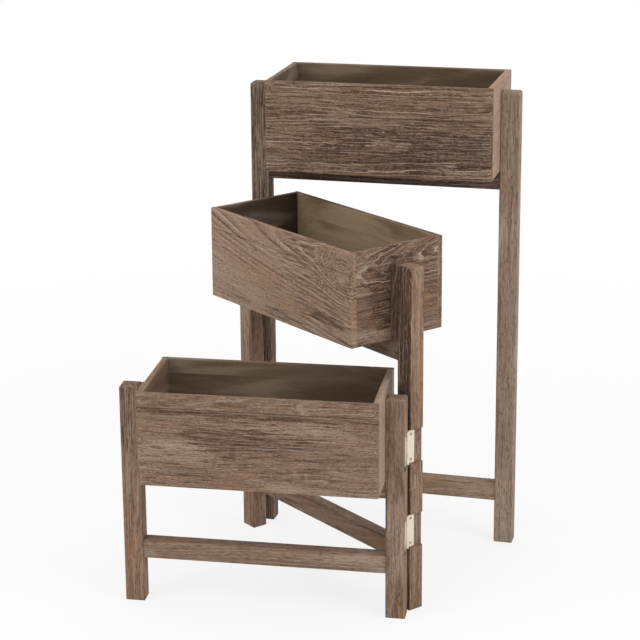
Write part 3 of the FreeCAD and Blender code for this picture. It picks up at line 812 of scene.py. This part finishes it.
def looseParts(name):
    # corner points of each separate screw in a node
    bm = bmesh.new()
    bm.from_mesh(nodes[name].data)
    bmesh.ops.remove_doubles(bm, verts=bm.verts, dist=turning["mergeWithin"])
    left, parts = set(bm.verts), []
    for start in bm.verts:
        if start not in left:
            continue
        left.discard(start)
        part, waiting = [], [start]
        while waiting:
            vertex = waiting.pop()
            part.append(vertex.co.copy())
            for edge in vertex.link_edges:
                other = edge.other_vert(vertex)
                if other in left:
                    left.discard(other)
                    waiting.append(other)
        parts.append(part)
    bm.free()
    return parts


def finishPiece(bm, name, material, body, node):
    mesh = bpy.data.meshes.new(name)
    bm.to_mesh(mesh)
    bm.free()
    mesh.materials.append(material)
    mesh.shade_smooth()
    mesh.set_sharp_from_angle(angle=math.radians(turning["smoothUpTo"]))
    piece = bpy.data.objects.new(name, mesh)
    scene.collection.objects.link(piece)
    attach(piece, body)
    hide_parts(node)


# screws in metres; each head's dome gives shares of its radius and drops below its crown
screwSizes = {
    "hinge": {
        "head": 0.0027, "crown": 0.0003, "seat": -0.0012, "shank": 0.00145, "point": 0.003,
        "dome": ((0, 0), (0.35, 0.00003), (0.6, 0.000105), (1, 0.0003)),
        "cross": 0.0007, "deep": 0.0006, "crossReach": 0.6, "taper": 0.8,
    },
    "box": {
        "head": 0.0041, "crown": 0.0, "seat": -0.0022, "shank": 0.0019, "point": 0.003,
        "dome": ((0, 0), (0.35, 0), (0.6, 0.00015), (0.85, 0.0006), (1, 0.0013), (1, 0.0022)),
        "cross": 0.0010, "deep": 0.0010, "crossReach": 0.6, "taper": 0.8,
    },
}


def screwShape(size, length):
    head, shank = size["head"], size["shank"]
    outline = [(share * head, size["crown"] - drop) for share, drop in size["dome"]]
    outline += [(shank, size["seat"]), (shank, size["point"] - length), (0, -length)]
    bm = bmesh.new()
    spinOutline(bm, outline)
    sinkCross(bm, size["crossReach"] * head, size["cross"], size["deep"], size["taper"])
    return bm


def makeScrews(tier, kind, material):
    node = tier + "_" + kind + "_screws"
    whole = bmesh.new()
    across = Vector((math.cos(tierTurn[tier]), math.sin(tierTurn[tier]), 0))
    for part in looseParts(node):
        reach = [point.dot(across) for point in part]
        ends = {}
        for side, limit in ((-1, min(reach)), (1, max(reach))):
            tip = [point for point, value in zip(part, reach) if abs(value - limit) < 1e-5]
            centre = sum(tip, Vector()) / len(tip)
            ends[side] = (max((point - centre).length for point in tip), centre)
        side = max(ends, key=lambda end: ends[end][0])
        shankEnd = ends[-side][1]
        length = max(reach) - min(reach)
        face = shankEnd + across * (side * length)
        bm = screwShape(screwSizes[kind], length)
        stand = Matrix.Translation(face) @ (across * side).to_track_quat("Z", "Y").to_matrix().to_4x4()
        bmesh.ops.transform(bm, matrix=stand, verts=bm.verts)
        scratch = bpy.data.meshes.new("scratch")
        bm.to_mesh(scratch)
        bm.free()
        whole.from_mesh(scratch)
        bpy.data.meshes.remove(scratch)
    finishPiece(whole, node + "_turned", material, tier + "_frame", node)


# hinge pin: a plain rod with a low domed head at each end, given in shares of the head
pinSizes = {
    "rod": 0.00148, "head": 0.0023, "headHeight": 0.001,
    "dome": ((0, 0), (0.5, 0.1), (0.85, 0.45), (1, 0.85), (1, 1)),
}


def makePin(node):
    low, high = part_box(node)
    centre, half = (low + high) / 2, (high.z - low.z) / 2
    tall = pinSizes["headHeight"]
    cap = [(share * pinSizes["head"], half - drop * tall) for share, drop in pinSizes["dome"]]
    cap.append((pinSizes["rod"], half - tall))
    outline = cap + [(radius, -height) for radius, height in reversed(cap)]
    bm = bmesh.new()
    spinOutline(bm, outline)
    bmesh.ops.translate(bm, verts=bm.verts, vec=centre)
    finishPiece(bm, node + "_turned", metals["hingeScrew"], "middle_frame", node)


for tier in tierTurn:
    makeScrews(tier, "hinge", metals["hingeScrew"])
    makeScrews(tier, "box", metals["boxScrew"])
for name, node in nodes.items():
    if name.endswith("_pin"):
        makePin(name)
    elif name.endswith(("_leaf", "_brads")):
        node.data.materials.clear()
        node.data.materials.append(metals["hingePlate" if name.endswith("_leaf") else "brad"])
print("hinges and fixings finished")
